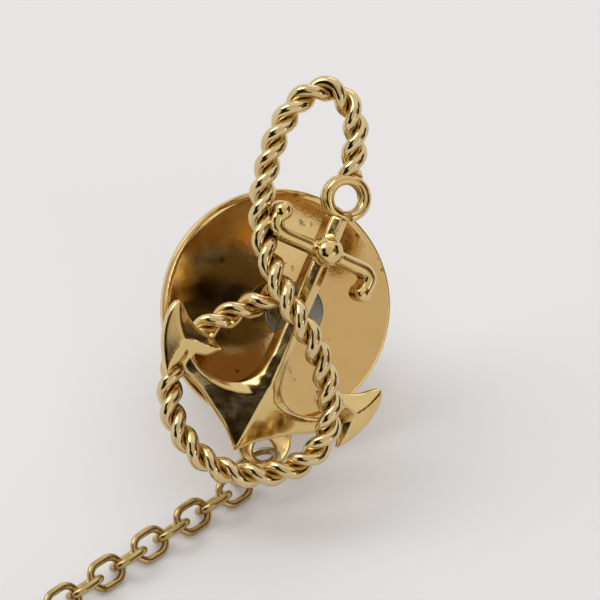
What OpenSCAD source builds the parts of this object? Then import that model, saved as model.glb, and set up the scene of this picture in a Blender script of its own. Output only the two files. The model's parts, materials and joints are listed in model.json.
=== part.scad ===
// Tie tack: a fouled anchor on a grooved post, a ball clutch with a dished disc,
// and a safety chain that ends in a T-bar. All sizes are in millimetres.
//
// The head and the clutch are drawn in the tack's own frame: X across the anchor,
// Y up its shank and Z forward along the post, from the middle of the post's pad.
// as_it_lies() then turns that frame to how the tack lies on a table at Z = 0.

/* [Anchor] */
// Height of the side walls of the arms and flukes
arm_wall = 0.9; // [0.6:0.1:1.1]
// Height of the ridge along the arms and flukes
arm_ridge = 1.5; // [1.3:0.1:1.7]
// Height of the side walls of the shank
shank_wall = 1.6; // [1.3:0.1:1.8]
// Height of the ridge along the shank
shank_ridge = 2.1; // [1.9:0.1:2.3]
// Diameter of the ball where the stock crosses the shank
boss_d = 1.3; // [1.1:0.1:1.5]
// Thickness of the stock
stock_d = 0.7; // [0.5:0.05:0.8]

/* [Ring and rope] */
// Radius of the ring's centre line
ring_r = 0.93; // [0.85:0.01:1]
// Thickness of the ring's wire
ring_wire_d = 0.56; // [0.4:0.02:0.6]
// Thickness of one strand of the rope
strand_d = 0.68; // [0.6:0.02:0.76]
// Length of rope in which a strand goes once round
rope_pitch = 2.6; // [2.4:0.1:3.2]

/* [Post] */
// Diameter of the pad that is soldered to the anchor
pad_d = 3; // [2.6:0.1:3.4]
// Thickness of the pad
pad_t = 0.5; // [0.4:0.05:0.6]
// Diameter of the pin
pin_d = 1; // [0.9:0.02:1.04]
// Length of the pin, from the middle of the pad to its point
pin_len = 8.9; // [8.4:0.1:9]

/* [Clutch] */
// Diameter of the disc
disc_d = 12.2; // [11.5:0.1:12.5]
// Distance from the pad to the front of the disc's rim
rim_z = 3; // [2.9:0.05:3.2]
// Thickness of the disc
disc_t = 0.35; // [0.3:0.01:0.4]
// Width of the chain tab
tab_w = 2.9; // [2.6:0.1:3.2]
// Diameter of the tab's hole
tab_hole_d = 1.1; // [1:0.05:1.2]
// Direction of the tab, turned from straight down
tab_turn = 18.7; // [15:0.1:22]
// Diameter of the housing
housing_d = 5.8; // [5.6:0.1:6]
// Diameter of the locking balls
ball_d = 1; // [0.96:0.01:1]
// Slope of the cone that wedges the balls
cone_angle = 15; // [14:1:16]
// Diameter of the release knob
knob_d = 6.6; // [6.2:0.1:6.8]
// How far the release knob pulls back
release_travel = 0.7; // [0.4:0.05:0.75]

/* [Chain] */
// Thickness of the links' wire
wire_d = 0.39; // [0.36:0.01:0.4]
// Length of a link, outside
link_len = 2.25; // [2.2:0.01:2.4]
// Width of a link, outside
link_w = 1.7; // [1.65:0.01:1.8]
// Number of links between the jump ring and the end ring
link_count = 24; // [12:1:26]
// Radius of the jump ring's centre line
jump_r = 1.3; // [1.2:0.05:1.4]
// Length of the T-bar
bar_len = 12; // [10:0.5:14]
// Diameter of the T-bar
bar_d = 1.1; // [0.9:0.05:1.3]

/* [Hidden] */
$fn = 48;
slack = 0.02; // between parts that run on each other

// how the tack lies: its pad's middle over the table, and the frame's turns
pad_at = [8.615, 14.265, 8.5];
lie = [46.9, 28.8, -3.2];

// anchor
back = pad_t / 2;
axis_x = -0.15;
crown_tip = [axis_x, -7.65];
ring_at = [-0.22, 6.2, 1.35];
boss_at = [axis_x, 3.3, 1.95];
palm_tip = [5.95, -2];
palm_outer = [4.85, -5.5];
palm_inner = [2.8, -3.4];
palm_root = [4, -4.35];
stock_z = 1.65;
stock_route = [
  [-3.05, 4.35], [-3.15, 3.7], [-2.75, 3.28], [-1.4, 3.25], [0, 3.25],
  [1.2, 3.25], [2.1, 3.22], [2.5, 2.95], [2.5, 2.5], [2.42, 2.15]
];
// x, y, half width, side wall's height, ridge's height
shank_stations = [
  [axis_x, 5.15, 0.42, 1.5, 1.8], [axis_x, 3.3, 0.44, shank_wall, shank_ridge],
  [axis_x, 0, 0.47, shank_wall, shank_ridge], [axis_x, -2.4, 0.55, shank_wall, shank_ridge],
  [axis_x, -3.7, 0.85, 1.3, shank_ridge], [axis_x, -4.7, 1.4, 1.1, 2],
  [axis_x, -5.6, 1.5, 1, 1.8],
  [axis_x, -6.9, 0.6, 0.8, 1.4], [crown_tip.x, crown_tip.y, 0.05, 0.6, 0.8]
];
arm_stations = [
  [0.2, -5.6, 1.5, 1, 1.7], [1.5, -5.5, 0.95, arm_wall, 1.6],
  [2.6, -5.4, 0.58, arm_wall, arm_ridge], [3.5, -4.9, 0.44, arm_wall, arm_ridge],
  [palm_root.x, palm_root.y, 0.36, arm_wall, arm_ridge]
];

// rope: its centre line, from the ring round to the back of the shank
rope_route = [
  [-0.45, 7.25, 1.35], [-0.95, 9.2, 1.3], [-1.7, 10.35, 1.2], [-2.7, 10.9, 1.1],
  [-3.65, 10.65, 1], [-4.4, 9.55, 0.9], [-4.65, 8, 0.8], [-4.5, 6.2, 0.75],
  [-4.1, 4.5, 0.75], [-3.55, 3.1, 0.95], [-2.8, 1.8, 1.7], [-1.9, 0.7, 2.5],
  [-0.75, -0.3, 2.95], [0.65, -1.2, 2.9], [1.95, -2.4, 2.6], [2.92, -3.7, 2.4],
  [3.4, -5.2, 2.3], [3.05, -6.7, 2.1], [1.95, -7.9, 1.7], [0.4, -8.7, 1.3],
  [-1.25, -8.8, 1], [-2.85, -8.15, 0.6], [-4, -7, 0.15], [-4.55, -5.5, -0.2],
  [-4.6, -4.2, -0.28], [-4.2, -3.1, -0.28], [-3.5, -2.1, -0.28], [-2.75, -1.2, -0.25],
  [-2, -0.4, 0.05], [-1.45, 0.35, 0.75]
];
rope_sides = 6;

// pin, its grooves and its point, measured back from the pad
groove_z = 3.85;
groove_end_z = 4.55;
groove_depth = 0.16;
point_len = 0.9;

// clutch, all heights measured back from the pad
rim_r = disc_d / 2;
rim_skirt = 0.55;
dish_depth = 1;
lip_w = 0.2;
tab_root_r = 6.9;
tab_hole_r = 7.35;
tab_t = 0.4;
tab_drop = 0.1;
pin_r = pin_d / 2;
pin_hole_r = pin_r + 0.08;
eyelet_r = 1;
ball_z = 5.5;
ball_orbit = pin_r + ball_d / 2 + slack / 2;
cone_at_ball = ball_orbit + (ball_d / 2 + slack) / cos(cone_angle);
plunger_z = ball_z + ball_d / 2 + slack;
flange_z = plunger_z + 0.5;
flange_t = 0.3;
spring_z = flange_z + flange_t;
plate_z = spring_z + 1.1;
plate_t = 0.35;
housing_end = plate_z + plate_t + 0.15;
knob_z = housing_end + 0.2;
knob_t = 1.25;
bore_r = 2.3;
stem_r = 1.1;
spring_wire_d = 0.25;

// chain
wire_r = wire_d / 2;
bow_r = (link_w - wire_d) / 2;
bow_x = (link_len - link_w) / 2;
hook_x = bow_x + bow_r;
lie_h = bow_r * sin(45) + wire_r;
first_heading = 223.4;
straight_links = 11;
curl = 5;
chain_start = pad_at + [-3.05, -4.88, 0];
end_ring_r = 0.8;
eye_r = 0.6;
waist_half = 0.75;
waist_cut = 0.17;
jump_at = pad_at + [-2.03, -3.44, -7.69];
jump_turn = [27, 2, 244];

function link_name(i) = str("chain_link_", i < 10 ? "0" : "", i);
function unit(v) = v / norm(v);
function cone_r(z) = cone_at_ball + (-ball_z - z) * tan(cone_angle);
function flat(lists) = [for (l = lists) each l];

// Places a part from the tack's own frame on the table.
module as_it_lies() {
  translate(pad_at) rotate(lie) children();
}

// A closed skin over rings of points, each ring with the same number of points.
module skin(rings) {
  n = len(rings[0]);
  m = len(rings);
  sides = [
    for (i = [0:m - 2], j = [0:n - 1])
      let (k = (j + 1) % n)
        each [[i * n + j, (i + 1) * n + j, (i + 1) * n + k],
              [i * n + j, (i + 1) * n + k, i * n + k]]
  ];
  ends = [[for (j = [0:n - 1]) j], [for (j = [n - 1:-1:0]) (m - 1) * n + j]];
  polyhedron(flat(rings), concat(sides, ends));
}

// The direction along a list of points at point i.
function along(p, i) = unit(p[min(i + 1, len(p) - 1)] - p[max(i - 1, 0)]);

// A round bar of radius r through the points p.
module round_bar(p, r, sides = 8) {
  skin([
    for (i = [0:len(p) - 1])
      let (t = along(p, i), s = unit(cross([0, 0, 1], t)), u = cross(t, s))
        [for (a = [0:sides - 1]) p[i] + r * (cos(a * 360 / sides) * s + sin(a * 360 / sides) * u)]
  ]);
}

// A bar with a flat back, side walls and a ridge, through the stations.
module roof_bar(stations) {
  line = [for (s = stations) [s[0], s[1], 0]];
  skin([
    for (i = [0:len(stations) - 1])
      let (q = stations[i], t = along(line, i), s = cross(t, [0, 0, 1]))
        [for (c = [[-1, back], [-1, q[3]], [0, q[4]], [1, q[3]], [1, back]])
          line[i] + q[2] * c[0] * s + [0, 0, c[1]]]
  ]);
}

// One half of a fluke's palm, from its tip to a barb, sloping down from the ridge.
module half_palm(barb, bulge) {
  hull() {
    translate([0, 0, back])
      linear_extrude(arm_wall - back) polygon([palm_tip, bulge, barb, palm_root]);
    for (p = [palm_tip * 0.93, palm_root])
      translate([p.x, p.y, arm_ridge - 0.1]) cylinder(h = 0.1, r = 0.05, $fn = 8);
  }
}

module arm_and_fluke() {
  roof_bar(arm_stations);
  half_palm(palm_outer, [5.85, -3.9]);
  half_palm(palm_inner, [4.6, -2.6]);
}

module anchor() {
  color("goldenrod") as_it_lies() {
    roof_bar(shank_stations);
    translate([axis_x, 0, 0]) {
      arm_and_fluke();
      mirror([1, 0, 0]) arm_and_fluke();
    }
    translate(boss_at) sphere(d = boss_d, $fn = 32);
    round_bar([for (p = stock_route) [p.x, p.y, stock_z]], stock_d / 2);
    translate([stock_route[0].x, stock_route[0].y, stock_z]) sphere(r = 0.46, $fn = 24);
    translate([stock_route[9].x, stock_route[9].y, stock_z]) sphere(r = 0.38, $fn = 24);
  }
}

module torus(ring, wire) {
  rotate_extrude() translate([ring, 0]) circle(r = wire);
}

module anchor_ring() {
  color("darkgoldenrod") as_it_lies() translate(ring_at)
    for (side = [-1, 1]) translate([0, 0, side * 0.22]) torus(ring_r, ring_wire_d / 2);
}

// A smooth curve through the points a, b, c and d, at the share t of the way from b to c.
function spline_point(a, b, c, d, t) =
  b + t * (c - a) / 2 + t * t * (2 * a - 5 * b + 4 * c - d) / 2
  + t * t * t * (3 * b - a - 3 * c + d) / 2;
function smooth(p, steps) = [
  for (i = [0:len(p) - 2], k = [0:steps - 1])
    spline_point(p[max(i - 1, 0)], p[i], p[i + 1], p[min(i + 2, len(p) - 1)], k / steps)
];
function lengths(p) = [
  for (i = 0, s = 0; i < len(p); s = s + norm(p[min(i + 1, len(p) - 1)] - p[i]), i = i + 1) s
];

rope_fine = smooth(rope_route, 8);
rope_s = lengths(rope_fine);

// One strand of the rope, wound round the rope's centre line from a start angle.
module rope_strand(start) {
  p = rope_fine;
  lay_r = strand_d / 2 - 0.01;
  line = [
    for (i = [0:len(p) - 1])
      let (t = along(p, i), s = unit(cross([0, 0, 1], t)), u = cross(t, s))
        let (a = start + 360 * rope_s[i] / rope_pitch) p[i] + lay_r * (cos(a) * s + sin(a) * u)
  ];
  as_it_lies() round_bar(line, strand_d / 2, rope_sides);
}

module rope_strand_a() {
  color("gold") rope_strand(0);
}

module rope_strand_b() {
  color("khaki") rope_strand(180);
}

// Pad and pin, with two grooves round the pin and a point.
module post() {
  edge = 0.08;
  groove_r = pin_r - groove_depth;
  color("silver") as_it_lies() rotate_extrude() polygon([
    [0, back], [pad_d / 2 - edge, back], [pad_d / 2, back - edge], [pad_d / 2, edge - back],
    [pad_d / 2 - edge, -back], [pin_r, -back], [pin_r, -groove_z], [groove_r, -groove_z - 0.1],
    [groove_r, 0.1 - groove_end_z], [pin_r, -groove_end_z], [pin_r, 1.5 - pin_len],
    [groove_r, 1.4 - pin_len], [groove_r, 1.2 - pin_len], [pin_r, 1.1 - pin_len],
    [pin_r, point_len - pin_len], [0.06, -pin_len], [0, -pin_len]
  ]);
}

// Dished disc with a skirted rim, and the tab with its hole.
module clutch_disc() {
  dish_r = rim_r - lip_w;
  floor_z = -rim_z - dish_depth;
  dish = [
    for (k = [0:6])
      let (r = eyelet_r + (dish_r - eyelet_r) * k / 6)
        [r, floor_z + dish_depth * pow(r / dish_r, 2)]
  ];
  color("goldenrod") as_it_lies() {
    rotate_extrude() polygon(concat(
      dish, [[rim_r, -rim_z], [rim_r, -rim_z - rim_skirt], [rim_r - disc_t, -rim_z - rim_skirt]],
      [for (k = [6:-1:0]) dish[k] - [k == 6 ? disc_t - lip_w : 0, disc_t]]
    ));
    rotate(tab_turn) translate([0, 0, -rim_z - tab_drop - tab_t]) linear_extrude(tab_t)
      difference() {
        union() {
          translate([0, -tab_root_r]) circle(d = tab_w);
          translate([-tab_w / 2, -tab_root_r]) square([tab_w, tab_root_r - rim_r + tab_w / 2]);
        }
        translate([0, -tab_hole_r]) circle(d = tab_hole_d);
        circle(r = rim_r - disc_t / 2);
      }
  }
}

// Cup behind the disc: an eyelet through the disc, the cone round the balls and the spring's bore.
module clutch_housing() {
  nose_z = -rim_z - dish_depth;
  cone_front_z = -ball_z + ball_d / 2 + 0.15;
  cone_back_z = -flange_z + 0.3;
  color("goldenrod") as_it_lies() rotate_extrude() polygon([
    [pin_hole_r, nose_z + 0.1], [eyelet_r + 0.35, nose_z + 0.1], [eyelet_r + 0.35, nose_z + slack],
    [eyelet_r - slack, nose_z + slack], [eyelet_r - slack, nose_z - disc_t - slack],
    [housing_d / 2 - 0.3, nose_z - disc_t - slack], [housing_d / 2, nose_z - disc_t - 0.3],
    [housing_d / 2, -housing_end + 0.15], [housing_d / 2 - 0.15, -housing_end],
    [bore_r - 0.2, -housing_end], [bore_r - 0.2, -plate_z - plate_t - slack],
    [bore_r, -plate_z - plate_t - slack], [bore_r, cone_back_z],
    [cone_r(cone_back_z), cone_back_z], [cone_r(cone_front_z), cone_front_z],
    [pin_hole_r, cone_front_z]
  ]);
}

module locking_balls() {
  color("silver") as_it_lies()
    for (i = [0:2]) rotate(i * 120) translate([ball_orbit, 0, -ball_z]) sphere(d = ball_d);
}

// Sleeve whose face holds the balls forward, with a flange for the spring and a stem for the knob.
module release_plunger() {
  face_r = cone_r(-plunger_z) - 0.12;
  color("peru") as_it_lies() rotate_extrude() polygon([
    [pin_hole_r, -plunger_z], [face_r, -plunger_z], [face_r, -flange_z],
    [bore_r - 0.1, -flange_z], [bore_r - 0.1, -spring_z], [stem_r, -spring_z],
    [stem_r, -knob_z - 0.6], [pin_hole_r, -knob_z - 0.6]
  ]);
}

// Compression spring round the stem: a wire wound as a helix.
module release_spring() {
  turns = 3;
  ring_points = 24;
  coil_r = (stem_r + bore_r) / 2;
  rise = plate_z - spring_z - spring_wire_d - 2 * slack;
  line = [
    for (i = [0:turns * ring_points])
      let (a = i * 360 / ring_points)
        [coil_r * cos(a), coil_r * sin(a),
         -spring_z - slack - spring_wire_d / 2 - rise * i / (turns * ring_points)]
  ];
  color("gray") as_it_lies() round_bar(line, spring_wire_d / 2, 6);
}

// End plate that closes the housing behind the spring.
module spring_plate() {
  color("peru") as_it_lies() translate([0, 0, -plate_z - plate_t]) difference() {
    cylinder(h = plate_t, r = bore_r - slack);
    translate([0, 0, -1]) cylinder(h = plate_t + 2, r = stem_r + 0.05);
  }
}

// Knob pressed on the plunger's stem, with a grip groove round it and a closed end.
module release_knob() {
  edge = 0.2;
  knob_r = knob_d / 2;
  color("goldenrod") as_it_lies() rotate_extrude() polygon([
    [stem_r, -knob_z], [knob_r - 1.2, -knob_z], [knob_r - edge, -knob_z - 0.35],
    [knob_r, -knob_z - 0.35 - edge], [knob_r, -knob_z - knob_t + edge],
    [knob_r - edge, -knob_z - knob_t], [0, -knob_z - knob_t], [0, -knob_z - knob_t + 0.35],
    [pin_hole_r, -knob_z - knob_t + 0.35], [pin_hole_r, -knob_z - 0.62], [stem_r, -knob_z - 0.62]
  ]);
}

module chain_jump_ring() {
  color("silver") translate(jump_at) rotate(jump_turn) torus(jump_r, wire_r);
}

// Chain: each link's heading on the table, its centre and the middle of the wire at its far end.
function heading(i) = first_heading + curl * max(0, i - straight_links);
function ahead(i) = [cos(heading(i)), sin(heading(i)), 0];
function between(i) = unit(ahead(i) + ahead(i + 1));
function link_at(i) = i == 1 ? [chain_start.x, chain_start.y, lie_h]
  : link_at(i - 1) + hook_x * (ahead(i - 1) + ahead(i)) - (wire_d + slack) * between(i - 1);
function roll(i) = i % 2 == 1 ? -45 : 45;

// Turns a piece that lies along X to link i's heading and roll, at a centre.
module at_link(i, centre) {
  translate(centre) rotate([0, 0, heading(i)]) rotate([roll(i), 0, 0]) children();
}

module link_shape() {
  for (side = [-1, 1]) {
    translate([side * bow_x, 0, 0]) rotate(-90 * side)
      rotate_extrude(angle = 180) translate([bow_r, 0]) circle(r = wire_r);
    translate([-bow_x, side * bow_r, 0]) rotate([0, 90, 0]) cylinder(h = 2 * bow_x, r = wire_r);
  }
}

module chain_link(i) {
  color(i % 2 == 1 ? "goldenrod" : "gold") at_link(i, link_at(i)) link_shape();
}

end_link = link_count + 1;
end_hook = link_at(link_count) + hook_x * ahead(link_count) - (wire_d + slack) * between(link_count)
  + [0, 0, (end_ring_r - bow_r) * sin(45)];
end_ring_at = end_hook + end_ring_r * ahead(end_link);
eye_hook = end_ring_at + (end_ring_r - wire_d - slack) * ahead(end_link);
eye_at = eye_hook + eye_r * ahead(end_link);

module chain_end_ring() {
  color("goldenrod") at_link(end_link, end_ring_at) torus(end_ring_r, wire_r);
}

// Bar with round ends and a turned waist, with an eye soldered in the waist.
module t_bar() {
  end_at = (bar_len - bar_d) / 2;
  color("goldenrod") {
    at_link(end_link + 1, eye_at) torus(eye_r, wire_r);
    translate([eye_at.x, eye_at.y, bar_d / 2] + (eye_r + bar_d / 2 - 0.1) * ahead(end_link))
      rotate([90, 0, heading(end_link)]) {
        cylinder(h = 2 * waist_half, d = bar_d - 2 * waist_cut, center = true);
        for (side = [-1, 1]) {
          translate([0, 0, side * (waist_half + end_at) / 2])
            cylinder(h = end_at - waist_half, d = bar_d, center = true);
          translate([0, 0, side * end_at]) sphere(d = bar_d);
        }
      }
  }
}

anchor();
anchor_ring();
rope_strand_a();
rope_strand_b();
post();
clutch_disc();
clutch_housing();
locking_balls();
release_plunger();
release_spring();
spring_plate();
release_knob();
chain_jump_ring();
for (i = [1:link_count]) chain_link(i);
chain_end_ring();
t_bar();
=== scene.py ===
import json
import math
import bmesh
import bpy
import numpy as np
from mathutils import Euler, Matrix, Vector


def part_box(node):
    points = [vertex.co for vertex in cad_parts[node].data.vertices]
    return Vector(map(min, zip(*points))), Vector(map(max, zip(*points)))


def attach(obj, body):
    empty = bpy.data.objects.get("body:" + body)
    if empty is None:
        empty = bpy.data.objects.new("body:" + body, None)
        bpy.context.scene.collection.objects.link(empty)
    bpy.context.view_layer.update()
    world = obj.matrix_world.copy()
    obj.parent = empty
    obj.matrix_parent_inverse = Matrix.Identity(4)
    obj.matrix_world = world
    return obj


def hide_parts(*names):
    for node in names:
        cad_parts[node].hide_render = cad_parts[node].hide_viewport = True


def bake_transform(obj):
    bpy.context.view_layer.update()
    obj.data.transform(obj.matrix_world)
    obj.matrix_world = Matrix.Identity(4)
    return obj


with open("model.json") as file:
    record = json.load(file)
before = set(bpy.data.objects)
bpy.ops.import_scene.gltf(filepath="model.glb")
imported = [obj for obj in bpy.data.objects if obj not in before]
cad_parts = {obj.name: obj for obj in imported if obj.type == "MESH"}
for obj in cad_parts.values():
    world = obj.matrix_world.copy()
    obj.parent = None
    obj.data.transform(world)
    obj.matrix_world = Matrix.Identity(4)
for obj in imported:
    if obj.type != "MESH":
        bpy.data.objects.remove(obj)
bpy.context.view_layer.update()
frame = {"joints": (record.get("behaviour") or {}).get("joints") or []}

# ------------------------------------------------------------------------------------------
# The tack's own frame: X across the anchor, Y up its shank, Z forward along the post, in
# millimetres from the middle of the post's pad. Pieces are modelled in it, then laid down.
# ------------------------------------------------------------------------------------------
MM = 0.001
JOINTS = {joint["name"]: joint for joint in frame["joints"]}
PAD = Vector(JOINTS["clutch_swivel"]["pos_m"])
LIE = Euler([math.radians(a) for a in (46.9, 28.8, -3.2)]).to_matrix().to_4x4()
LYING = Matrix.Translation(PAD) @ LIE @ Matrix.Scale(MM, 4)

PAD_R, PAD_T, PIN_R, PIN_LEN = 1.5, 0.5, 0.5, 8.9
RIM_R, RIM_Z, DISH_DEPTH, DISC_T = 6.1, 3.0, 1.0, 0.35
SLACK = 0.02  # the gap between pieces that nearly touch


# ------------------------------------------------------------------------------------------
# Small helpers for modelling
# ------------------------------------------------------------------------------------------
def deselect():
    bpy.ops.object.select_all(action="DESELECT")


def active(piece):
    deselect()
    piece.select_set(True)
    bpy.context.view_layer.objects.active = piece
    return piece


def edit(piece, select=False):
    """Goes into edit mode with all or nothing selected, and gives the mesh there."""
    active(piece)
    bpy.ops.object.mode_set(mode="EDIT")
    bpy.ops.mesh.select_all(action="SELECT" if select else "DESELECT")
    return bmesh.from_edit_mesh(piece.data)


def leave_edit():
    bpy.ops.object.mode_set(mode="OBJECT")


def apply_modifier(piece, kind, **settings):
    active(piece)
    modifier = piece.modifiers.new(kind.title(), kind)
    for key, value in settings.items():
        setattr(modifier, key, value)
    bpy.ops.object.modifier_apply(modifier=modifier.name)


def recalculate(piece):
    """Merges doubles and turns all faces outwards."""
    edit(piece, select=True)
    bpy.ops.mesh.remove_doubles(threshold=0.0005)
    bpy.ops.mesh.normals_make_consistent(inside=False)
    leave_edit()


def joined(pieces):
    deselect()
    for piece in pieces:
        piece.select_set(True)
    bpy.context.view_layer.objects.active = pieces[0]
    bpy.ops.object.join()
    return pieces[0]


def smoothed(piece, angle=35):
    active(piece)
    bpy.ops.object.shade_smooth_by_angle(angle=math.radians(angle))


def put(piece, name, body, nodes, material, place=LYING, angle=35):
    """Lays a finished piece in place, gives it its finish, and hands it to its CAD body. A piece
    that stretches between two bodies has both of them for body, each with the point where the piece
    ends on it; such a piece is handed to neither, its place is only baked into its mesh, and the
    points are not used."""
    piece.data.transform(place @ piece.matrix_basis)
    piece.matrix_basis = Matrix.Identity(4)
    piece.name = name
    piece.data.materials.clear()
    piece.data.materials.append(material)
    smoothed(piece, angle)
    if isinstance(body, str):
        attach(piece, body)
    else:
        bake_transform(piece)
    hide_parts(*nodes)
    return piece


def turned(profile, steps=96):
    """A piece turned on a lathe: a profile of (radius, height) points spun round Z."""
    deselect()
    bpy.ops.mesh.primitive_circle_add(vertices=3, radius=1, fill_type="NOTHING")
    piece = bpy.context.object
    mesh = edit(piece)
    bmesh.ops.delete(mesh, geom=list(mesh.verts), context="VERTS")
    start = mesh.verts.new((profile[0][0], 0, profile[0][1]))
    start.select_set(True)
    bmesh.update_edit_mesh(piece.data)
    for (r0, z0), (r1, z1) in zip(profile, profile[1:]):
        step = (r1 - r0, 0, z1 - z0)
        bpy.ops.mesh.extrude_vertices_move(TRANSFORM_OT_translate={"value": step})
    bpy.ops.mesh.select_all(action="SELECT")
    bpy.ops.mesh.spin(steps=steps, angle=2 * math.pi, center=(0, 0, 0), axis=(0, 0, 1))
    leave_edit()
    recalculate(piece)
    return piece


def rounded(points, radius=0.06, steps=3):
    """A profile whose inner corners are replaced by short arcs of about the given radius."""
    out = [points[0]]
    for a, b, c in zip(points, points[1:], points[2:]):
        a, b, c = Vector(a), Vector(b), Vector(c)
        cut = min(radius, 0.4 * (b - a).length, 0.4 * (c - b).length)
        p, q = b + (a - b).normalized() * cut, b + (c - b).normalized() * cut
        for i in range(steps + 1):
            t = i / steps
            out.append(tuple(p * (1 - t) ** 2 + b * 2 * t * (1 - t) + q * t ** 2))
    return out + [points[-1]]


def spline(points, steps):
    """A smooth curve through the points, with a number of steps from each to the next."""
    points = [Vector(p) for p in points]
    line = []
    for i in range(len(points) - 1):
        a, b = points[max(i - 1, 0)], points[i]
        c, d = points[i + 1], points[min(i + 2, len(points) - 1)]
        for k in range(steps):
            t = k / steps
            line.append(b + t * (c - a) / 2 + t * t * (2 * a - 5 * b + 4 * c - d) / 2
                        + t ** 3 * (3 * b - a - 3 * c + d) / 2)
    return line + [points[-1]]


def wire(line, radius, sides=16):
    """A round wire along a line of points, as a curve with a bevel that is made a mesh."""
    curve = bpy.data.curves.new("wire", "CURVE")
    curve.dimensions = "3D"
    curve.bevel_depth = radius
    curve.bevel_resolution = sides // 4
    curve.use_fill_caps = True
    path = curve.splines.new("POLY")
    path.points.add(len(line) - 1)
    for point, place in zip(path.points, line):
        point.co = (*place, 1)
    piece = bpy.data.objects.new("wire", curve)
    bpy.context.scene.collection.objects.link(piece)
    active(piece)
    bpy.ops.object.convert(target="MESH")
    recalculate(piece)
    return piece


def ball(place, radius):
    deselect()
    bpy.ops.mesh.primitive_uv_sphere_add(segments=32, ring_count=16, radius=radius,
                                         location=place)
    piece = bpy.context.object
    bpy.ops.object.transform_apply(location=True, rotation=False, scale=False)
    return piece


# ------------------------------------------------------------------------------------------
# Finishes
# ------------------------------------------------------------------------------------------
def hex_colour(code):
    """An sRGB hex colour as linear RGBA."""
    parts = [int(code[i:i + 2], 16) / 255 for i in (0, 2, 4)]
    return [p / 12.92 if p <= 0.04045 else ((p + 0.055) / 1.055) ** 2.4 for p in parts] + [1]


def add_node(tree, kind, links=(), **settings):
    """Adds a node, sets its settings and inputs, and links its inputs from other sockets."""
    node = tree.nodes.new(kind)
    for key, value in settings.items():
        if key.startswith("in_"):
            node.inputs[int(key[3:]) if key[3:].isdigit() else key[3:]].default_value = value
        else:
            setattr(node, key, value)
    for source, target in links:
        tree.links.new(source, node.inputs[target])
    return node


# where each noise pattern starts to show and where it is full
WORN_AT, SPOTS_AT, HAIRS_AT = (0.65, 0.74), (0.63, 0.69), (0.74, 0.8)
TARNISH_BROWN, BARE_METAL = "6B4A22", "B9B4AC"
HAIR_SETS = ((0.5, 3.0), (1.9, 4.0), (2.7, 2.5))  # each set's turn and its scale per millimetre
BUMP_STRENGTH, BUMP_DISTANCE = 0.02, 0.0002


def fade(tree, source, start, full, most):
    """A pattern cut to a mask: 0 below start, and up to most where it is full."""
    return add_node(tree, "ShaderNodeMapRange", links=[(source, 0)],
                    in_1=start, in_2=full, in_3=0.0, in_4=most).outputs[0]


def over(tree, mask, colour, code):
    """A colour laid over another one where the mask shows."""
    mix = add_node(tree, "ShaderNodeMix", data_type="RGBA", links=[(mask, 0), (colour, 6)])
    mix.inputs[7].default_value = hex_colour(code)
    return mix.outputs[2]


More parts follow.
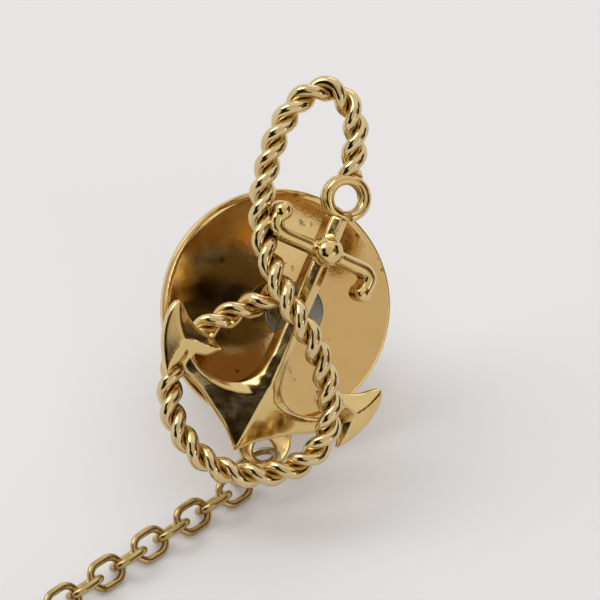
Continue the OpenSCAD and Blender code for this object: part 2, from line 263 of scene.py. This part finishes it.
def metal(name, colour, second, roughness, worn=BARE_METAL, scratches=0.0, tarnish=0.0, wear=0.0):
    """A plated or bare metal: a colour that drifts to a second one, wear at edges, tarnish
    spots and fine scratches. Pattern scales are per millimetre."""
    material = bpy.data.materials.new(name)
    material.use_nodes = True
    tree = material.node_tree
    tree.nodes.clear()
    output = add_node(tree, "ShaderNodeOutputMaterial")
    shader = add_node(tree, "ShaderNodeBsdfPrincipled", in_Metallic=1.0)
    tree.links.new(shader.outputs[0], output.inputs[0])
    place = add_node(tree, "ShaderNodeTexCoord")
    mm = add_node(tree, "ShaderNodeMapping", links=[(place.outputs["Object"], "Vector")],
                  in_Scale=(1 / MM, 1 / MM, 1 / MM))
    at = mm.outputs[0]
    drift = add_node(tree, "ShaderNodeTexNoise", links=[(at, "Vector")], in_Scale=0.45,
                     in_Detail=3.0)
    tone = add_node(tree, "ShaderNodeMix", data_type="RGBA", links=[(drift.outputs["Fac"], 0)])
    tone.inputs[6].default_value = hex_colour(colour)
    tone.inputs[7].default_value = hex_colour(second)
    surface = tone.outputs[2]
    rough = add_node(tree, "ShaderNodeTexNoise", links=[(at, "Vector")], in_Scale=2.2,
                     in_Detail=6.0)
    rough_to = add_node(tree, "ShaderNodeMapRange", links=[(rough.outputs["Fac"], 0)],
                        in_1=0.3, in_2=0.7, in_3=roughness[0], in_4=roughness[1])
    gloss = rough_to.outputs[0]
    if wear:
        shape = add_node(tree, "ShaderNodeNewGeometry")
        patch = add_node(tree, "ShaderNodeTexNoise", links=[(at, "Vector")], in_Scale=0.8,
                         in_Detail=4.0)
        edge = add_node(tree, "ShaderNodeMath", operation="MULTIPLY_ADD", in_1=0.12,
                        links=[(patch.outputs["Fac"], 0), (shape.outputs["Pointiness"], 2)])
        surface = over(tree, fade(tree, edge.outputs[0], *WORN_AT, wear), surface, worn)
    if tarnish:
        spots = add_node(tree, "ShaderNodeTexNoise", links=[(at, "Vector")], in_Scale=1.1,
                         in_Detail=8.0, in_Roughness=0.62)
        spots_at = fade(tree, spots.outputs["Fac"], *SPOTS_AT, tarnish)
        surface = over(tree, spots_at, surface, TARNISH_BROWN)
    tree.links.new(surface, shader.inputs["Base Color"])
    grain = add_node(tree, "ShaderNodeTexNoise", links=[(at, "Vector")], in_Scale=6.0,
                     in_Detail=4.0)
    height = grain.outputs["Fac"]
    if scratches:
        total = None
        for turn, scale in HAIR_SETS:
            lines = add_node(tree, "ShaderNodeMapping", links=[(at, "Vector")],
                             in_Scale=(scale * 14, scale * 0.5, scale * 0.5),
                             in_Rotation=(0.4, turn, turn))
            hair = add_node(tree, "ShaderNodeTexNoise", links=[(lines.outputs[0], "Vector")],
                            in_Scale=1.0, in_Detail=1.0)
            line = fade(tree, hair.outputs["Fac"], *HAIRS_AT, 1.0)
            total = line if total is None else add_node(
                tree, "ShaderNodeMath", operation="MAXIMUM",
                links=[(total, 0), (line, 1)]).outputs[0]
        gloss = add_node(tree, "ShaderNodeMath", operation="MULTIPLY_ADD", in_1=scratches,
                         links=[(total, 0), (gloss, 2)]).outputs[0]
        height = add_node(tree, "ShaderNodeMath", operation="MULTIPLY_ADD", in_1=-0.25,
                          links=[(total, 0), (height, 2)]).outputs[0]
    tree.links.new(gloss, shader.inputs["Roughness"])
    relief = add_node(tree, "ShaderNodeBump", links=[(height, "Height")],
                      in_Strength=BUMP_STRENGTH, in_Distance=BUMP_DISTANCE)
    tree.links.new(relief.outputs[0], shader.inputs["Normal"])
    return material


# Polished gold plate on a casting: bright clear reflections on the facets, going pale where
# the plating has worn through at the edges.
ANCHOR_GOLD = metal("gold_plated_casting_polished", "E2C88C", "D8B978", (0.10, 0.2), wear=0.8)
# Gold plate on drawn wire: a thin sharp highlight along every turn of the twist.
ROPE_GOLD = metal("gold_plated_drawn_wire", "E4D0A0", "CDB27C", (0.08, 0.16), wear=0.5)
# Gold plate on a flat pressing: a mirror with fine scratches and brown spots of tarnish.
DISC_GOLD = metal("gold_plated_pressing_scratched", "E2C48A", "D9B676", (0.07, 0.13),
                  scratches=0.1, tarnish=0.8)
# Gold plate rubbed thin: duller and browner than the disc, so the links read darker.
CHAIN_GOLD = metal("gold_plated_chain_worn", "CDB47C", "A88E58", (0.16, 0.28), worn="B4AFA6",
                   wear=0.4, tarnish=0.8)
# Plate gone brown where fingers don't rub it: soft, dark, low in contrast.
TARNISHED_GOLD = metal("gold_plated_cup_tarnished", "94703C", "6E4E28", (0.2, 0.3), tarnish=0.6)
# Nickel with traces of gold left: a warm grey with a blurred shine.
WORN_NICKEL = metal("nickel_under_worn_gold", "B8AE9C", "CDB98E", (0.22, 0.34))
# Polished nickel plate: a cool dark grey that mirrors its surroundings.
PIN_NICKEL = metal("nickel_plated_polished", "7E7B74", "6A675F", (0.08, 0.16))
# Hardened and lapped steel: near-white, with a pinpoint highlight on each ball.
BALL_STEEL = metal("hardened_ball_steel", "C6C6C8", "B9B9BC", (0.05, 0.1))
# Steel as drawn: mid grey and slightly dull, with soft light along the coil.
SPRING_STEEL = metal("drawn_spring_steel", "9C9CA0", "86868C", (0.22, 0.32))
# Bare brass from the lathe: warm yellow with a satin sheen and fine tool marks.
TURNED_BRASS = metal("turned_brass_satin", "CBA860", "BD9850", (0.24, 0.34), scratches=0.1)


# ------------------------------------------------------------------------------------------
# Anchor: one casting with its stock
# ------------------------------------------------------------------------------------------
BACK, TOP = PAD_T / 2, 2.4
AXIS_X = -0.15
# the right half's outline from the shank's top round to the crown's tip, as smooth runs that
# meet in corners; x is measured from the shank's axis
OUTLINE = [
    [(0.44, 5.15), (0.47, 3.3), (0.47, 1.0), (0.46, -1.0), (0.46, -2.0), (0.52, -3.0), (0.7, -3.75),
     (1.1, -4.3), (1.65, -4.6), (2.3, -4.7), (3.1, -4.55), (3.75, -4.28), (4.1, -4.02)],
    [(4.1, -4.02), (3.37, -3.88), (2.73, -3.28)],
    [(2.73, -3.28), (3.3, -2.97), (4.2, -2.8), (4.9, -2.5), (5.4, -2.1), (5.8, -1.88), (6.02, -2.2),
     (6.05, -3.0), (5.82, -4.0), (5.33, -4.95), (4.85, -5.6)],
    [(4.85, -5.6), (4.75, -5.1), (4.45, -4.65)],
    [(4.45, -4.65), (3.93, -5.08), (3.4, -5.35), (2.7, -5.7), (1.85, -6.25), (1.0, -6.8),
     (0.3, -7.42), (0, -7.75)]]
# how high the front stands at the casting's outer edge and at a palm's, and how it rises inwards:
# steeply over a narrow rim, then gently
EDGE_HEIGHT, PALM_HEIGHT, STEEP, GENTLE = 0.42, 0.72, 0.85, 0.5
STOCK = [(-3.05, 4.3), (-3.15, 3.7), (-2.75, 3.28), (-1.4, 3.25), (0, 3.25),
         (1.2, 3.25), (2.1, 3.22), (2.5, 2.95), (2.52, 2.5), (2.44, 2.1)]
STOCK_R, STOCK_LAYERS = 0.38, (0.85, 1.25, 1.65)
STOCK_END_R = (0.5, 0.45)
BOSS_AT, BOSS_R = (AXIS_X, 3.3, 2.05), 0.74
BODY_VOXEL, CASTING_VOXEL = 0.07, 0.06


def spline_2d(points, steps):
    return [(p.x, p.y) for p in spline([(x, y, 0) for x, y in points], steps)]


def both_sides(points):
    """A stretch of the right half's outline and its mirror image, as one list of segments."""
    segments = []
    for side in (1, -1):
        line = [np.array((side * x + AXIS_X, y)) for x, y in points]
        segments += list(zip(line, line[1:]))
    return segments


def distance(places, segments):
    """Each place's distance to the nearest segment."""
    nearest = np.full(len(places), 1e9)
    for a, b in segments:
        way = b - a
        share = np.clip(((places - a) @ way) / (way @ way), 0, 1)
        nearest = np.minimum(nearest, np.hypot(*(places - a - share[:, None] * way).T))
    return nearest


def roof(inwards, edge_height, rim):
    """The height of a facet, by its distance inwards from its edge."""
    return edge_height + STEEP * np.minimum(inwards, rim) + GENTLE * np.maximum(inwards - rim, 0)


def casting_height(places, runs):
    """The front's height: a steep band rises from the inner edges, a broad facet from the outer
    edges, and they meet in a ridge, or in a crease down the crown; each palm is a low roof."""
    across, y = np.abs(places[:, 0] - AXIS_X), places[:, 1]
    inner = distance(places, both_sides(runs[0]))
    outer = distance(places, both_sides(runs[4]))
    palm = distance(places, both_sides(runs[1] + runs[2][1:] + runs[3][1:]))
    out = np.clip((across - 0.5) / 2.2, 0, 1)
    middle = np.interp(y, [-4.7, -4.3, -3.7, -2.6], [0.95, 1.2, 1.45, 1.62])
    band = middle * (1 - out) + 0.6 * out + STEEP * inner
    body = np.minimum(band, roof(outer, EDGE_HEIGHT, 0.13))
    past_arm = np.clip((across - 4.2) / 0.35, 0, 1)
    above_arm = np.clip((y + 4.2) / 0.2, 0, 1) * (across > 2.4)
    share = np.maximum(past_arm, above_arm)
    return body * (1 - share) + roof(palm, PALM_HEIGHT, 0.1) * share


def build_anchor():
    """The outline cut from plate and given its relief, with the stock and its boss grown on."""
    runs = [spline_2d(run, 7) for run in OUTLINE]
    right = [point for run in runs for point in run[:-1]]
    outline = right + [OUTLINE[4][-1]] + [(-x, y) for x, y in reversed(right)]
    deselect()
    bpy.ops.mesh.primitive_circle_add(vertices=len(outline), radius=1, fill_type="NGON")
    body = bpy.context.object
    mesh = edit(body, select=True)
    mesh.verts.ensure_lookup_table()
    for vertex, (x, y) in zip(mesh.verts, outline):
        vertex.co = (x + AXIS_X, y, BACK)
    bmesh.update_edit_mesh(body.data)
    bpy.ops.mesh.extrude_region_move(TRANSFORM_OT_translate={"value": (0, 0, TOP - BACK)})
    leave_edit()
    recalculate(body)
    apply_modifier(body, "REMESH", mode="VOXEL", voxel_size=BODY_VOXEL)
    apply_modifier(body, "SMOOTH", factor=0.5, iterations=2)
    places = np.empty(len(body.data.vertices) * 3)
    body.data.vertices.foreach_get("co", places)
    places = places.reshape(-1, 3)
    height = casting_height(places[:, :2], runs)
    places[:, 2] = BACK + (places[:, 2] - BACK) * (height - BACK) / (TOP - BACK)
    body.data.vertices.foreach_set("co", places.ravel())
    body.data.update()
    parts = [body, ball(BOSS_AT, BOSS_R)]
    for z in STOCK_LAYERS:
        parts.append(wire(spline([(x, y, z) for x, y in STOCK], 6), STOCK_R))
        for end, radius in zip((STOCK[0], STOCK[-1]), STOCK_END_R):
            parts.append(ball((*end, z), radius))
    anchor = joined(parts)
    apply_modifier(anchor, "REMESH", mode="VOXEL", voxel_size=CASTING_VOXEL)
    apply_modifier(anchor, "SMOOTH", factor=0.5, iterations=5)
    put(anchor, "anchor_casting", "head", ["anchor"], ANCHOR_GOLD, angle=60)


# ------------------------------------------------------------------------------------------
# Ring and rope
# ------------------------------------------------------------------------------------------
RING_AT = Vector((-0.22, 6.2, 1.35))
RING_R, RING_WIRE_R, RING_START, RING_STEPS = 0.94, 0.28, -60, 144
STRAND_R, LAY_R, ROPE_PITCH = 0.34, 0.33, 2.6
ROPE_ROUTE = [
    (-0.45, 7.25, 1.35), (-0.95, 9.2, 1.3), (-1.7, 10.35, 1.2), (-2.7, 10.9, 1.1),
    (-3.65, 10.65, 1), (-4.4, 9.55, 0.9), (-4.65, 8, 0.8), (-4.5, 6.2, 0.75),
    (-4.1, 4.5, 0.75), (-3.55, 3.1, 0.95), (-2.8, 1.8, 1.7), (-1.9, 0.7, 2.5),
    (-0.75, -0.3, 2.95), (0.65, -1.2, 2.9), (1.95, -2.4, 2.6), (2.92, -3.7, 2.4),
    (3.4, -5.2, 2.3), (3.05, -6.7, 2.1), (1.95, -7.9, 1.7), (0.4, -8.7, 1.3),
    (-1.25, -8.8, 1), (-2.85, -8.15, 0.6), (-4, -7, 0.15), (-4.55, -5.5, -0.2),
    (-4.6, -4.2, -0.28), (-4.2, -3.1, -0.28), (-3.5, -2.1, -0.28), (-2.75, -1.2, -0.25),
    (-2, -0.4, 0.05), (-1.45, 0.35, 0.75)]


def build_ring():
    """Two turns of wire side by side, butted at the lower right."""
    line = []
    for i in range(RING_STEPS + 1):
        share = i / RING_STEPS
        angle = math.radians(RING_START + 720 * share)
        line.append(RING_AT + Vector((RING_R * math.cos(angle), RING_R * math.sin(angle),
                                      0.5 - share)))
    put(wire(line, RING_WIRE_R), "anchor_ring_wire", "head", ["anchor_ring"], ANCHOR_GOLD,
        angle=60)


def build_rope():
    """Two drawn wires twisted round the rope's centre line."""
    centre = spline(ROPE_ROUTE, 20)
    for name, start in (("rope_strand_a", 0.0), ("rope_strand_b", math.pi)):
        line, run = [], 0.0
        for i, place in enumerate(centre):
            ahead = (centre[min(i + 1, len(centre) - 1)] - centre[max(i - 1, 0)]).normalized()
            side = Vector((0, 0, 1)).cross(ahead).normalized()
            up = ahead.cross(side)
            angle = start + 2 * math.pi * run / ROPE_PITCH
            line.append(place + LAY_R * (math.cos(angle) * side + math.sin(angle) * up))
            if i + 1 < len(centre):
                run += (centre[i + 1] - place).length
        put(wire(line, STRAND_R), name + "_wire", "head", [name], ROPE_GOLD,
            angle=60)


# ------------------------------------------------------------------------------------------
# Post
# ------------------------------------------------------------------------------------------
# the two grooves that hold the balls: where each starts and ends, down from the pad's middle
GROOVES = ((3.85, 4.55), (PIN_LEN - 1.5, PIN_LEN - 1.1))
GROOVE_DEPTH, GROOVE_SLOPE, POINT_LEN = 0.16, 0.1, 0.9


def build_post():
    groove_r = PIN_R - GROOVE_DEPTH
    profile = [(0, BACK), (PAD_R - 0.06, BACK), (PAD_R, BACK - 0.06), (PAD_R, -BACK + 0.06),
               (PAD_R - 0.06, -BACK), (PIN_R, -BACK)]
    for start, end in GROOVES:
        profile += [(PIN_R, -start), (groove_r, -start - GROOVE_SLOPE),
                    (groove_r, -end + GROOVE_SLOPE), (PIN_R, -end)]
    profile += [(PIN_R, POINT_LEN - PIN_LEN), (0.06, -PIN_LEN), (0, -PIN_LEN)]
    put(turned(rounded(profile, 0.05)), "pin_and_pad", "head", ["post"], PIN_NICKEL)


# ------------------------------------------------------------------------------------------
# Clutch: everything hangs below the disc, so heights are negative. A name ending in _Z is a
# depth below the pad's middle.
# ------------------------------------------------------------------------------------------
RIM_W, RIM_H, DISH_STEPS = 0.2, 0.55, 24
TAB_TURN = math.radians(18.7)
TAB_W, TAB_ROOT_R, TAB_T, TAB_DROP = 2.9, 6.9, 0.4, 0.1
TAB_HOLE_R, TAB_HOLE_D = 7.35, 1.1  # the hole's distance from the pin, and its width
TAB_EDGE = 0.17  # rounded well over, so that the jump ring swings clear of it
PIN_HOLE_R, EYELET_R, BORE_R, STEM_R = 0.58, 1.0, 2.3, 1.1
BALL_R, BALL_Z, BALL_ORBIT, BALL_COUNT = 0.5, 5.5, 1.01, 3
CONE = math.radians(15)
CONE_AT_BALL = BALL_ORBIT + (BALL_R + SLACK) / math.cos(CONE)
PLUNGER_Z = BALL_Z + BALL_R + SLACK
FLANGE_Z = PLUNGER_Z + 0.5
SPRING_Z = FLANGE_Z + 0.3
PLATE_Z, PLATE_T = SPRING_Z + 1.1, 0.35
HOUSING_R, HOUSING_END = 2.9, PLATE_Z + PLATE_T + 0.15
KNOB_Z, KNOB_T, KNOB_R = HOUSING_END + 0.2, 1.25, 3.3
KNOB_SOCKET = 0.6  # how far the sleeve goes into the knob
SPRING_WIRE_R, SPRING_TURNS, TURN_STEPS = 0.125, 3, 48


def cone_r(z):
    return CONE_AT_BALL + (-BALL_Z - z) * math.tan(CONE)


def tab_shape():
    """A tongue with a round end and a hole through it, pointing along -Y from under the rim."""
    deselect()
    bpy.ops.mesh.primitive_cylinder_add(vertices=64, radius=TAB_W / 2, depth=TAB_T,
                                        location=(0, -TAB_ROOT_R, 0))
    tab = bpy.context.object
    bpy.ops.object.transform_apply()
    mesh = edit(tab)
    for vertex in mesh.verts:
        vertex.select_set(vertex.co.y > -TAB_ROOT_R + 0.01)
    mesh.select_flush_mode()
    bmesh.update_edit_mesh(tab.data)
    for vertex in mesh.verts:
        if vertex.select:
            vertex.co.y = -RIM_R + RIM_W
            if abs(vertex.co.x) > TAB_W / 4:
                vertex.co.x = math.copysign(TAB_W / 2, vertex.co.x)
    bmesh.update_edit_mesh(tab.data)
    leave_edit()
    recalculate(tab)
    deselect()
    bpy.ops.mesh.primitive_cylinder_add(vertices=48, radius=TAB_HOLE_D / 2, depth=2,
                                        location=(0, -TAB_HOLE_R, 0))
    drill = bpy.context.object
    bpy.ops.object.transform_apply()
    apply_modifier(tab, "BOOLEAN", operation="DIFFERENCE", object=drill, solver="EXACT")
    bpy.data.objects.remove(drill)
    apply_modifier(tab, "BEVEL", width=TAB_EDGE, segments=5, limit_method="ANGLE",
                   angle_limit=math.radians(50))
    return tab


def build_disc():
    """A dished disc with a flat rim turned over at its edge, and the chain's tab."""
    dish_r = RIM_R - RIM_W
    dish = []
    for k in range(DISH_STEPS + 1):
        r = EYELET_R + (dish_r - EYELET_R) * k / DISH_STEPS
        dish.append((r, -RIM_Z - DISH_DEPTH + DISH_DEPTH * (r / dish_r) ** 2))
    under = [(r, z - DISC_T) for r, z in reversed(dish)]
    under[0] = (dish_r - 0.15, under[0][1])
    rim = rounded([dish[-1], (RIM_R, -RIM_Z), (RIM_R, -RIM_Z - RIM_H),
                   (RIM_R - DISC_T, -RIM_Z - RIM_H), under[0]], 0.1, 4)
    disc = turned(dish[:-1] + rim + under[1:] + [dish[0]], 128)
    tab = tab_shape()
    tab.data.transform(Matrix.Rotation(TAB_TURN, 4, "Z")
                       @ Matrix.Translation((0, 0, -RIM_Z - TAB_DROP - TAB_T / 2)))
    put(joined([disc, tab]), "clutch_disc_and_tab", "clutch", ["clutch_disc"], DISC_GOLD,
        angle=40)


def build_housing():
    """The cup with its cone, riveted through the disc by an eyelet, and the balls in it."""
    nose = -RIM_Z - DISH_DEPTH
    front, back = -BALL_Z + BALL_R + 0.15, -FLANGE_Z + 0.3
    lip = -PLATE_Z - PLATE_T - SLACK
    profile = [
        (PIN_HOLE_R, nose + 0.1), (EYELET_R + 0.35, nose + 0.1), (EYELET_R + 0.35, nose + SLACK),
        (EYELET_R - SLACK, nose + SLACK), (EYELET_R - SLACK, nose - DISC_T - SLACK),
        (HOUSING_R - 0.3, nose - DISC_T - SLACK), (HOUSING_R, nose - DISC_T - 0.3),
        (HOUSING_R, -HOUSING_END + 0.15), (HOUSING_R - 0.15, -HOUSING_END),
        (BORE_R - 0.2, -HOUSING_END), (BORE_R - 0.2, lip), (BORE_R, lip), (BORE_R, back),
        (cone_r(back), back), (cone_r(front), front), (PIN_HOLE_R, front)]
    put(turned(rounded(profile, 0.06) + [profile[0]]), "clutch_housing_shell", "clutch",
        ["clutch_housing"], TARNISHED_GOLD)
    balls = []
    for k in range(BALL_COUNT):
        a = 2 * math.pi * k / BALL_COUNT
        balls.append(ball((BALL_ORBIT * math.cos(a), BALL_ORBIT * math.sin(a), -BALL_Z), BALL_R))
    put(joined(balls), "steel_locking_balls", "locking_balls", ["locking_balls"], BALL_STEEL,
        angle=60)


def build_release():
    """The sleeve that holds the balls in the cone, its spring and end plate, and the knob."""
    face = cone_r(-PLUNGER_Z) - 0.12
    sleeve = [(PIN_HOLE_R, -PLUNGER_Z), (face, -PLUNGER_Z), (face, -FLANGE_Z),
              (BORE_R - 0.1, -FLANGE_Z), (BORE_R - 0.1, -SPRING_Z), (STEM_R, -SPRING_Z),
              (STEM_R, -KNOB_Z - KNOB_SOCKET), (PIN_HOLE_R, -KNOB_Z - KNOB_SOCKET)]
    put(turned(rounded(sleeve, 0.04) + [sleeve[0]]), "release_plunger_sleeve", "release",
        ["release_plunger"], TURNED_BRASS)

    coil_r = (STEM_R + BORE_R) / 2
    top = -SPRING_Z - SLACK - SPRING_WIRE_R
    drop = PLATE_Z - SPRING_Z - 2 * SPRING_WIRE_R - 2 * SLACK
    steps = SPRING_TURNS * TURN_STEPS
    coil = []
    for i in range(steps + 1):
        a = 2 * math.pi * i / TURN_STEPS
        coil.append(Vector((coil_r * math.cos(a), coil_r * math.sin(a), top - drop * i / steps)))
    ends = (("clutch", (0, 0, -PLATE_Z + SPRING_WIRE_R)),
            ("release", (0, 0, -SPRING_Z - SPRING_WIRE_R)))
    put(wire(coil, SPRING_WIRE_R, 12), "release_spring_coil", ends, ["release_spring"],
        SPRING_STEEL, angle=60)

    plate = [(STEM_R + 0.05, -PLATE_Z), (BORE_R - SLACK, -PLATE_Z),
             (BORE_R - SLACK, -PLATE_Z - PLATE_T), (STEM_R + 0.05, -PLATE_Z - PLATE_T)]
    put(turned(rounded(plate, 0.04) + [plate[0]]), "spring_end_plate", "clutch",
        ["spring_plate"], TURNED_BRASS)

    end = -KNOB_Z - KNOB_T
    knob = [(STEM_R, -KNOB_Z), (KNOB_R - 1.2, -KNOB_Z), (KNOB_R - 0.2, -KNOB_Z - 0.35),
            (KNOB_R, -KNOB_Z - 0.55), (KNOB_R, end + 0.2), (KNOB_R - 0.2, end), (0, end)]
    socket = -KNOB_Z - KNOB_SOCKET - SLACK
    inside = [(0, end + 0.35), (PIN_HOLE_R, end + 0.35), (PIN_HOLE_R, socket),
              (STEM_R, socket), (STEM_R, -KNOB_Z)]
    put(turned(rounded(knob, 0.12, 4) + inside), "release_knob_cap", "release",
        ["release_knob"], DISC_GOLD)


# ------------------------------------------------------------------------------------------
# Chain
# ------------------------------------------------------------------------------------------
LINK_COUNT, WIRE_R = 24, 0.195
BOW_R, BOW_X = 0.655, 0.275  # a link's round ends, and how far each stands from its middle
JUMP_RING_R, END_RING_R, EYE_R = 1.3, 0.8, 0.6
JUMP_RING_TURN = Euler([math.radians(a) for a in (27, 2, 244)]).to_matrix().to_4x4()
# the chain runs straight for some links and then turns a little with each, in degrees
FIRST_HEADING, STRAIGHT_LINKS, TURN_PER_LINK = 223.4, 11, 5
BAR_R, BAR_LEN = 0.55, 12.0
WAIST_HALF, WAIST_CUT = 0.75, 0.17


def ring_shape(radius):
    deselect()
    bpy.ops.mesh.primitive_torus_add(major_segments=64, minor_segments=20,
                                     major_radius=radius, minor_radius=WIRE_R)
    return bpy.context.object


def link_shape():
    """A round ring pulled long: each half moves out, with a straight stretch between."""
    piece = ring_shape(BOW_R)
    mesh = edit(piece)
    for side in (1, -1):
        for vertex in mesh.verts:
            vertex.select_set(side * vertex.co.x > 1e-4)
        mesh.select_flush_mode()
        bmesh.update_edit_mesh(piece.data)
        bpy.ops.transform.translate(value=(side * BOW_X, 0, 0))
    leave_edit()
    return piece


def middle_of(node):
    """The middle of a CAD node's box, in metres in the row frame."""
    low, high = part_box(node)
    return (low + high) / 2


def heading(i):
    return math.radians(FIRST_HEADING + TURN_PER_LINK * max(0, i - STRAIGHT_LINKS))


def link_place(i, centre):
    """A link lies along the chain, rolled by 45 degrees one way or the other by turns."""
    roll = math.radians(-45 if i % 2 else 45)
    return (Matrix.Translation(centre) @ Matrix.Rotation(heading(i), 4, "Z")
            @ Matrix.Rotation(roll, 4, "X") @ Matrix.Scale(MM, 4))


def build_chain():
    for i in range(1, LINK_COUNT + 1):
        node = f"chain_link_{i:02d}"
        put(link_shape(), f"link_wire_{i:02d}", f"link_{i:02d}", [node], CHAIN_GOLD,
            place=link_place(i, middle_of(node)), angle=60)
    jump_ring_place = (Matrix.Translation(middle_of("chain_jump_ring")) @ JUMP_RING_TURN
                       @ Matrix.Scale(MM, 4))
    put(ring_shape(JUMP_RING_R), "jump_ring_wire", "jump_ring", ["chain_jump_ring"],
        WORN_NICKEL, place=jump_ring_place, angle=60)
    put(ring_shape(END_RING_R), "end_ring_wire", "end_ring", ["chain_end_ring"], CHAIN_GOLD,
        place=link_place(LINK_COUNT + 1, middle_of("chain_end_ring")), angle=60)


def build_t_bar():
    """A round bar with domed ends and a turned waist, and an eye soldered in the waist."""
    way = heading(LINK_COUNT + 1)
    ahead = Vector((math.cos(way), math.sin(way), 0))
    hinge = Vector(JOINTS["t_bar_swing"]["pos_m"])
    eye_at = hinge + ahead * (EYE_R - WIRE_R * 2 - SLACK) * MM
    low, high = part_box("t_bar")
    profile = [(0, -BAR_LEN / 2)]
    for k in range(1, 9):
        a = math.pi / 2 * k / 8
        profile.append((BAR_R * math.sin(a), -BAR_LEN / 2 + BAR_R - BAR_R * math.cos(a)))
    profile += [(BAR_R, -WAIST_HALF - 0.03), (BAR_R - 0.03, -WAIST_HALF),
                (BAR_R - WAIST_CUT, -WAIST_HALF + 0.03)]
    profile += [(r, -z) for r, z in reversed(profile)]
    bar = turned(profile, 48)
    bar_at = Vector((eye_at.x, eye_at.y, low.z + BAR_R * MM)) + ahead * (EYE_R + BAR_R - 0.1) * MM
    turn = Matrix.Rotation(way, 4, "Z") @ Matrix.Rotation(math.pi / 2, 4, "X")
    bar.data.transform(Matrix.Translation(bar_at) @ turn @ Matrix.Scale(MM, 4))
    eye = ring_shape(EYE_R)
    eye.data.transform(link_place(LINK_COUNT + 2, eye_at))
    put(joined([bar, eye]), "t_bar_and_eye", "t_bar", ["t_bar"], CHAIN_GOLD,
        place=Matrix.Identity(4), angle=40)


# ------------------------------------------------------------------------------------------
# Studio
# ------------------------------------------------------------------------------------------
VIEW_DOWN = math.radians(42)
VIEW_DISTANCE, VIEW_WIDTH, SENSOR_W = 0.22, 0.0304, 36
VIEW_RIGHT, VIEW_UP = 0.30, 0.557  # what the camera looks at, in mm from the pad's middle
TABLE_COLOUR = "E9E8E9"
SOFTBOX_SIZE = 0.34
TENT_WHITE = [0.87, 0.87, 0.87, 1]


def build_studio():
    camera = bpy.data.objects.new("camera", bpy.data.cameras.new("camera"))
    bpy.context.scene.collection.objects.link(camera)
    up = Vector((0, math.sin(VIEW_DOWN), math.cos(VIEW_DOWN)))
    back = Vector((0, -math.cos(VIEW_DOWN), math.sin(VIEW_DOWN)))
    target = PAD + Vector((VIEW_RIGHT, 0, 0)) * MM + up * VIEW_UP * MM
    camera.location = target + back * VIEW_DISTANCE
    camera.rotation_euler = (math.pi / 2 - VIEW_DOWN, 0, 0)
    camera.data.sensor_width = SENSOR_W
    camera.data.lens = SENSOR_W * VIEW_DISTANCE / VIEW_WIDTH
    camera.data.clip_start = 0.01
    camera.data.clip_end = 10
    bpy.context.scene.camera = camera

    deselect()
    bpy.ops.mesh.primitive_plane_add(size=1.2, location=(0, 0, -0.00001))
    floor = bpy.context.object
    floor.name = "pale_table"
    paper = bpy.data.materials.new("pale_matt_card")
    paper.use_nodes = True
    shader = paper.node_tree.nodes["Principled BSDF"]
    shader.inputs["Base Color"].default_value = hex_colour(TABLE_COLOUR)
    shader.inputs["Roughness"].default_value = 0.8
    shader.inputs["Emission Color"].default_value = hex_colour(TABLE_COLOUR)
    shader.inputs["Emission Strength"].default_value = 0.1
    floor.data.materials.append(paper)

    for name, place, power in (("softbox_left", (-0.35, 0.1, 0.45), 0.7),
                               ("softbox_back", (0.1, 0.5, 0.4), 0.25)):
        light = bpy.data.lights.new(name, "AREA")
        light.shape = "DISK"
        light.size = SOFTBOX_SIZE
        light.energy = power
        thing = bpy.data.objects.new(name, light)
        thing.location = place
        thing.rotation_euler = (Vector(place) * -1).to_track_quat("-Z", "Y").to_euler()
        bpy.context.scene.collection.objects.link(thing)
    build_room()
    bpy.context.scene.view_settings.view_transform = "Standard"


# what the polished metal mirrors: its azimuth from the camera's side towards the right and its
# elevation, its radius and softness, all in degrees; then its colour and brightness
ROOM = [
    ("dark room front left", -28, 13, 26, 4, "1E140C", 1.0),
    ("dark room upper left", -37, 38, 18, 5, "24180E", 1.0),
    ("dark room left", -62, 40, 12, 10, "2A1C10", 1.0),
    ("dark room far right", 100, 30, 13, 6, "2E1A14", 1.0),
    ("grey wall behind the camera", 10, 48, 24, 12, "DAD2C8", 1.0),
    ("brown wall right", 65, 34, 14, 4, "7C5934", 1.0),
    ("dark room right", 78, 10, 12, 5, "2A1C10", 1.0),
    ("dark corner right", 58, 4, 7, 3, "2A1C10", 1.0),
    ("lit wall", 43, 3, 4, 3, "FFFFFF", 1.3),
    ("window's dark frame", 40, 14.5, 3, 2, "4A3A28", 1.0),
    ("window", 47, 17, 3.5, 2.5, "FFFDF2", 2.6)]


def build_room():
    """A pale surround with the patches of ROOM laid over it, each in its own direction."""
    world = bpy.data.worlds.new("white_tent_in_a_room")
    bpy.context.scene.world = world
    world.use_nodes = True
    tree = world.node_tree
    back = tree.nodes["Background"]
    way = add_node(tree, "ShaderNodeTexCoord")
    colour = add_node(tree, "ShaderNodeRGB")
    colour.outputs[0].default_value = TENT_WHITE
    colour = colour.outputs[0]
    for name, azimuth, elevation, radius, soft, shade, bright in ROOM:
        turn = Euler((-math.radians(elevation), 0, math.radians(azimuth))).to_matrix()
        toward = add_node(tree, "ShaderNodeVectorMath", operation="DOT_PRODUCT", label=name,
                          links=[(way.outputs["Generated"], 0)],
                          in_1=turn @ Vector((0, -1, 0)))
        share = add_node(tree, "ShaderNodeMapRange", interpolation_type="SMOOTHSTEP",
                         links=[(toward.outputs["Value"], 0)],
                         in_1=math.cos(math.radians(radius + soft)),
                         in_2=math.cos(math.radians(radius)), in_3=0.0, in_4=1.0)
        mix = add_node(tree, "ShaderNodeMix", data_type="RGBA", clamp_result=False,
                       links=[(share.outputs[0], 0), (colour, 6)])
        mix.inputs[7].default_value = [c * bright for c in hex_colour(shade)]
        colour = mix.outputs[2]
    tree.links.new(colour, back.inputs["Color"])


build_studio()
build_anchor()
build_ring()
build_rope()
build_post()
build_disc()
build_housing()
build_release()
build_chain()
build_t_bar()
